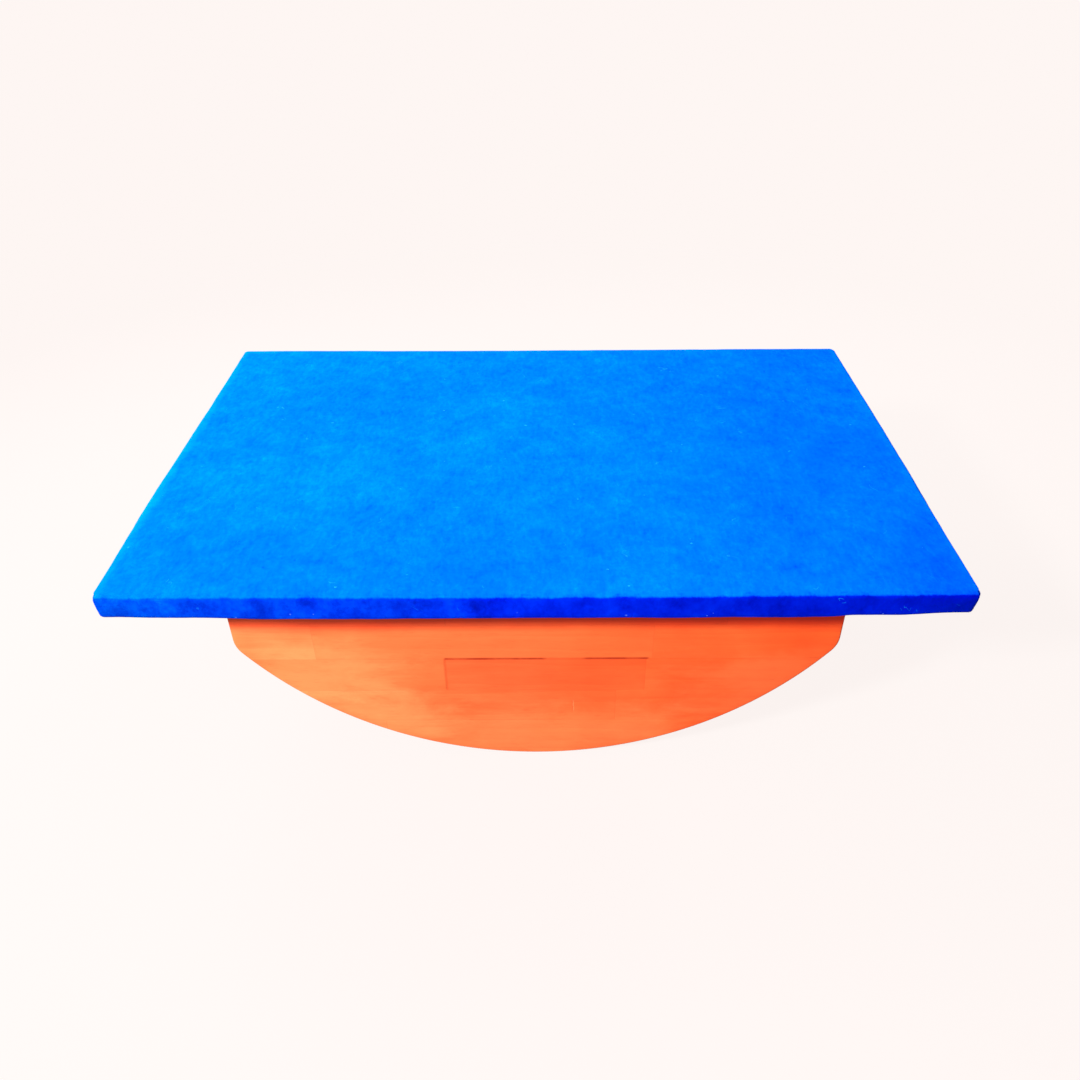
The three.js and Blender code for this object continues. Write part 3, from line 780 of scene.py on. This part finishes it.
def rocker_outline():
    half = rocker_hi[0]
    heel_x = half - HEEL_R
    heel_z = ROCKER_R - math.sqrt((ROCKER_R - HEEL_R) ** 2 - heel_x**2)
    meet = math.asin(heel_x / (ROCKER_R - HEEL_R))
    points = []
    steps = 150
    for i in range(steps + 1):
        a = -meet + 2 * meet * i / steps
        points.append((ROCKER_R * math.sin(a), ROCKER_R - ROCKER_R * math.cos(a)))
    heel = []
    for i in range(1, 13):
        a = meet + (math.pi / 2 - meet) * i / 12
        heel.append((heel_x + HEEL_R * math.sin(a), heel_z - HEEL_R * math.cos(a)))
    top = rocker_hi[2]
    up = [(half, heel[-1][1] + (top - heel[-1][1]) * i / 8) for i in range(1, 9)]
    right = heel + up
    left = [(-x, z) for x, z in reversed(right)]
    across = [(half - 2 * half * i / 60, top) for i in range(1, 60)]
    return points + right + across + left


def inset(outline, amount):
    """The outline moved inwards by amount, by the mitre at each point. The outline runs anticlockwise in (x, z)."""
    moved = []
    n = len(outline)
    for i, (x, z) in enumerate(outline):
        (xa, za), (xb, zb) = outline[i - 1], outline[(i + 1) % n]
        d1 = Vector((x - xa, z - za)).normalized()
        d2 = Vector((xb - x, zb - z)).normalized()
        n1, n2 = Vector((-d1.y, d1.x)), Vector((-d2.y, d2.x))
        m = n1 + n2
        m = m / max(m.dot(n1), 1e-6)
        moved.append((x + m.x * amount, z + m.y * amount))
    return moved


def build_rocker(name, y_front, y_back, material):
    outline = rocker_outline()
    ease = 1.6 * MM
    steps = 5
    s = Sweep()
    rows = []
    for i in range(steps + 1):
        a = math.pi / 2 * i / steps
        rows.append((ease * (1 - math.sin(a)), y_front + ease * (1 - math.cos(a))))
    rows.append((0.0, (y_front + y_back) / 2))
    for i in range(steps, -1, -1):
        a = math.pi / 2 * i / steps
        rows.append((ease * (1 - math.sin(a)), y_back - ease * (1 - math.cos(a))))
    rings = []
    for r, (amount, y) in enumerate(rows):
        line = inset(outline, amount) if amount > 1e-9 else outline
        rings.append([s.vertex((r, k), (x, y, z)) for k, (x, z) in enumerate(line)])
    n = len(outline)
    for a, b in zip(rings, rings[1:]):
        for k in range(n):
            s.face(a[k], b[k], b[(k + 1) % n], a[(k + 1) % n])
    # Each face is a broad band inside the eased edge, then one flat polygon.
    for ring, y, flip in ((rings[0], y_front, False), (rings[-1], y_back, True)):
        line = inset(outline, ease + 4 * MM)
        inner = [s.vertex(("cap", y, k), (x, y, z)) for k, (x, z) in enumerate(line)]
        for k in range(n):
            quad = [ring[k], ring[(k + 1) % n], inner[(k + 1) % n], inner[k]]
            s.face(*(quad[::-1] if flip else quad))
        s.face(*(inner[::-1] if flip else inner))
    obj = make(name, s.vertices, s.faces, material)
    # Shade the flat faces flat.
    obj.data.set_sharp_from_angle(angle=math.radians(32))
    return obj


def carve(obj, boxes):
    """Cuts small prisms, given as lists of eight corners, out of the object's mesh."""
    for i, corners in enumerate(boxes):
        mesh = bpy.data.meshes.new("cutter")
        mesh.from_pydata(corners, [], [(0, 1, 2, 3), (7, 6, 5, 4), (0, 4, 5, 1), (1, 5, 6, 2), (2, 6, 7, 3), (3, 7, 4, 0)])
        mesh.update()
        cutter = bpy.data.objects.new("cutter", mesh)
        scene.collection.objects.link(cutter)
        modifier = obj.modifiers.new("carve", "BOOLEAN")
        modifier.operation, modifier.solver, modifier.object = "DIFFERENCE", "EXACT", cutter
        bpy.context.view_layer.update()
        result = bpy.data.meshes.new_from_object(obj.evaluated_get(bpy.context.evaluated_depsgraph_get()))
        obj.modifiers.remove(modifier)
        if len(result.polygons) > len(obj.data.polygons) // 2:
            old, obj.data = obj.data, result
            bpy.data.meshes.remove(old)
        bpy.data.objects.remove(cutter)
        bpy.data.meshes.remove(mesh)


def bore(obj, tubes, sides=20):
    """Drills round blind holes, given as (start, end, radius), out of the object's mesh in one cut."""
    vertices, faces = [], []
    for start, end, radius in tubes:
        axis = (Vector(end) - Vector(start)).normalized()
        u = axis.orthogonal().normalized()
        v = axis.cross(u)
        first = len(vertices)
        for centre in (Vector(start), Vector(end)):
            for i in range(sides):
                a = 2 * math.pi * i / sides
                vertices.append(tuple(centre + radius * (u * math.cos(a) + v * math.sin(a))))
        faces.append(tuple(first + i for i in reversed(range(sides))))
        faces.append(tuple(first + sides + i for i in range(sides)))
        for i in range(sides):
            j = (i + 1) % sides
            faces.append((first + i, first + j, first + sides + j, first + sides + i))
    mesh = bpy.data.meshes.new("drill")
    mesh.from_pydata(vertices, [], faces)
    mesh.update()
    drill = bpy.data.objects.new("drill", mesh)
    scene.collection.objects.link(drill)
    modifier = obj.modifiers.new("bore", "BOOLEAN")
    modifier.operation, modifier.solver, modifier.object = "DIFFERENCE", "EXACT", drill
    bpy.context.view_layer.update()
    result = bpy.data.meshes.new_from_object(obj.evaluated_get(bpy.context.evaluated_depsgraph_get()))
    obj.modifiers.remove(modifier)
    if len(result.polygons) > len(obj.data.polygons) // 2:
        old, obj.data = obj.data, result
        bpy.data.meshes.remove(old)
    bpy.data.objects.remove(drill)
    bpy.data.meshes.remove(mesh)


def fastener_holes(side, inner_y):
    """The holes in one rocker for its dowels, from the inner face, and its screws, from the top edge."""
    tubes = []
    for node_name in frame["nodes"]:
        if node_name.startswith("rail_dowel_" + side):
            lo, hi = (Vector(c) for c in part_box(node_name))
            x, z, radius = (lo.x + hi.x) / 2, (lo.z + hi.z) / 2, (hi.x - lo.x) / 2 + 0.3 * MM
            end = lo.y - 1 * MM if side == "front" else hi.y + 1 * MM
            tubes.append(((x, inner_y + (2 * MM if side == "front" else -2 * MM), z), (x, end, z), radius))
        if node_name.startswith("rocker_screw_" + side):
            lo, hi = (Vector(c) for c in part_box(node_name))
            x, y = (lo.x + hi.x) / 2, (lo.y + hi.y) / 2
            tubes.append(((x, y, deck_lo[2] + 2 * MM), (x, y, lo.z - 0.5 * MM), 2.3 * MM))
    return tubes


def slot_box(x0, x1, z0, z1, y_face, depth, lean=0.0):
    """A wedge-bottomed slot: full width at the face, narrow at its bottom. lean shifts the top end along X."""
    y0, y1 = y_face - 1 * MM, y_face + depth
    zm = (z0 + z1) / 2
    xm = (x0 + x1) / 2
    if x1 - x0 > z1 - z0:
        inner = [(x0 + depth, y1, zm - 0.02 * MM), (x1 - depth, y1, zm - 0.02 * MM), (x1 - depth, y1, zm + 0.02 * MM), (x0 + depth, y1, zm + 0.02 * MM)]
    else:
        inner = [(xm - 0.02 * MM, y1, z0 + depth), (xm + 0.02 * MM, y1, z0 + depth), (xm + 0.02 * MM + lean, y1, z1 - depth), (xm - 0.02 * MM + lean, y1, z1 - depth)]
    face = [(x0, y0, z0), (x1, y0, z0), (x1 + lean, y0, z1), (x0 + lean, y0, z1)]
    return face + inner


# ---- make and place -----------------------------------------------------------------------------------------------------------

carpet_look = carpet_material()
front_wood = wood_material("varnished_wood_front", 3, key_stave=True)
rear_wood = wood_material("varnished_wood_rear", 11, drift=0.6)
rail_wood = wood_material("varnished_wood_rails", 23, drift=0.3)

carpet = build_carpet(carpet_look)
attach(carpet, "root")
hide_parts("carpet_cover")

pad = build_pad(felt_material())
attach(pad, "root")
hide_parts("underlay_pad")

front = build_rocker("rocker_front_panel", rocker_lo[1], rocker_hi[1], front_wood)
carve(
    front,
    [
        slot_box(-67 * MM, 8 * MM, 101.95 * MM, 102.6 * MM, rocker_lo[1], 0.7 * MM),
        slot_box(36 * MM, 82 * MM, 102.0 * MM, 102.55 * MM, rocker_lo[1], 0.6 * MM),
        slot_box(27.6 * MM, 28.6 * MM, 46.5 * MM, 59.5 * MM, rocker_lo[1], 0.3 * MM, lean=-0.6 * MM),
    ],
)
rear_lo, rear_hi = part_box("rocker_rear")
rear = build_rocker("rocker_rear_panel", rear_lo[1], rear_hi[1], rear_wood)
bore(front, fastener_holes("front", rocker_hi[1]))
bore(rear, fastener_holes("rear", rear_lo[1]))
for piece, node_name in ((front, "rocker_front"), (rear, "rocker_rear")):
    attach(piece, "root")
    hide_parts(node_name)

# The rest of the CAD keeps its shape: fine bevels, and materials of their own.
looks = {
    "deck_panel": (plywood_material(), 0.4 * MM),
    "cross_rail": (rail_wood, 0.6 * MM),
    "rail_dowel": (dowel_material(), 0.0),
    "rocker_screw": (zinc_material(), 0.0),
    "hem_staple": (staple_material(), 0.12 * MM),
}
looks["rail_screw"] = looks["rocker_screw"]
for node_name, obj in frame["nodes"].items():
    for start, (material, width) in looks.items():
        if node_name.startswith(start):
            obj.data.materials.clear()
            obj.data.materials.append(material)
            if width:
                bevel = obj.modifiers.new("soft_edges", "BEVEL")
                bevel.width, bevel.segments, bevel.limit_method = width, 2, "ANGLE"
                bevel.angle_limit = math.radians(40)
                bevel.harden_normals = False

# ---- floor, light and camera ------------------------------------------------------------------------------------------------

PALE = (1.0, 0.93, 0.905, 1.0)


def stage():
    mesh = bpy.data.meshes.new("studio_floor")
    r = 9.0
    ring = [(r * math.cos(2 * math.pi * i / 96), r * math.sin(2 * math.pi * i / 96), -0.2 * MM) for i in range(96)]
    mesh.from_pydata(ring, [], [tuple(range(96))])
    material = bpy.data.materials.new("studio_floor")
    material.use_nodes = True
    tree = material.node_tree
    tree.nodes.clear()
    out = tree.nodes.new("ShaderNodeOutputMaterial")
    add = tree.nodes.new("ShaderNodeAddShader")
    diffuse = tree.nodes.new("ShaderNodeBsdfDiffuse")
    diffuse.inputs[0].default_value = (0.04, 0.037, 0.036, 1.0)
    glow = tree.nodes.new("ShaderNodeEmission")
    glow.inputs[0].default_value = PALE
    path = tree.nodes.new("ShaderNodeLightPath")
    # Lit from all round near the object, and as bright as the backdrop far away, so that no horizon shows.
    where = tree.nodes.new("ShaderNodeTexCoord")
    reach = tree.nodes.new("ShaderNodeVectorMath")
    reach.operation = "LENGTH"
    tree.links.new(where.outputs["Object"], reach.inputs[0])
    bright = tree.nodes.new("ShaderNodeMapRange")
    bright.interpolation_type = "SMOOTHSTEP"
    for key, value in (("From Min", 0.45), ("From Max", 1.1), ("To Min", 0.94 - 0.26), ("To Max", 0.99 - 0.26)):
        bright.inputs[key].default_value = value
    tree.links.new(reach.outputs["Value"], bright.inputs["Value"])
    # The lamps' own pools of light on the floor fade out away from the object.
    lit = tree.nodes.new("ShaderNodeMapRange")
    lit.interpolation_type = "SMOOTHSTEP"
    for key, value in (("From Min", 0.45), ("From Max", 1.1), ("To Min", 0.04), ("To Max", 0.0)):
        lit.inputs[key].default_value = value
    tree.links.new(reach.outputs["Value"], lit.inputs["Value"])
    tree.links.new(lit.outputs["Result"], diffuse.inputs[0])
    level = tree.nodes.new("ShaderNodeMath")
    level.operation = "MULTIPLY_ADD"
    level.inputs[2].default_value = 0.26
    tree.links.new(path.outputs["Is Camera Ray"], level.inputs[0])
    tree.links.new(bright.outputs["Result"], level.inputs[1])
    tree.links.new(level.outputs[0], glow.inputs[1])
    tree.links.new(diffuse.outputs[0], add.inputs[0])
    tree.links.new(glow.outputs[0], add.inputs[1])
    tree.links.new(add.outputs[0], out.inputs[0])
    mesh.materials.append(material)
    floor = bpy.data.objects.new("studio_floor", mesh)
    scene.collection.objects.link(floor)


def world():
    made = bpy.data.worlds.new("studio")
    made.use_nodes = True
    tree = made.node_tree
    tree.nodes.clear()
    out = tree.nodes.new("ShaderNodeOutputWorld")
    mix = tree.nodes.new("ShaderNodeMixShader")
    seen = tree.nodes.new("ShaderNodeBackground")
    seen.inputs[0].default_value = PALE
    seen.inputs[1].default_value = 1.0
    light = tree.nodes.new("ShaderNodeBackground")
    light.inputs[0].default_value = (1.0, 0.99, 0.98, 1.0)
    light.inputs[1].default_value = 0.26
    path = tree.nodes.new("ShaderNodeLightPath")
    tree.links.new(path.outputs["Is Camera Ray"], mix.inputs[0])
    tree.links.new(light.outputs[0], mix.inputs[1])
    tree.links.new(seen.outputs[0], mix.inputs[2])
    tree.links.new(mix.outputs[0], out.inputs[0])
    scene.world = made


def area(name, place, target, size, power, colour=(1.0, 1.0, 1.0)):
    data = bpy.data.lights.new(name, "AREA")
    data.shape, data.size, data.energy, data.color = "DISK", size, power, colour
    obj = bpy.data.objects.new(name, data)
    obj.location = place
    obj.rotation_euler = (Vector(target) - Vector(place)).to_track_quat("-Z", "Y").to_euler()
    obj.visible_camera = False
    scene.collection.objects.link(obj)


stage()
world()
area("key", (-1.25, -1.35, 1.42), (-0.2, -0.05, 0.1), 0.3, 82.0)
area("fill", (-0.2, -1.7, 0.2), (0.0, 0.0, 0.08), 0.6, 3.3)
area("back", (-0.95, 0.75, 1.0), (-0.2, 0.1, 0.15), 0.7, 17.0)
area("rear", (1.0, 1.45, 0.6), (0.05, 0.1, 0.1), 0.8, 26.0)

camera_data = bpy.data.cameras.new("camera")
camera_data.sensor_fit = "HORIZONTAL"
camera_data.sensor_width = 36.0
camera_data.lens = 31.0
camera_data.clip_end = 50.0
camera = bpy.data.objects.new("camera", camera_data)
pitch, yaw, roll = (math.radians(v) for v in (35.54, -0.75, -0.76))
ahead = Vector((math.sin(yaw) * math.cos(pitch), math.cos(yaw) * math.cos(pitch), -math.sin(pitch)))
right = Vector((math.cos(yaw), -math.sin(yaw), 0.0))
up = right.cross(ahead)
right2 = right * math.cos(roll) + up * math.sin(roll)
up2 = up * math.cos(roll) - right * math.sin(roll)
camera.matrix_world = Matrix.Translation((0.0109, -0.6801, 0.5748)) @ Matrix((right2, up2, -ahead)).transposed().to_4x4()
scene.collection.objects.link(camera)
scene.camera = camera

scene.view_settings.view_transform = "Standard"
scene.view_settings.look = "None"
scene.view_settings.exposure = 0.0
scene.view_settings.gamma = 1.0
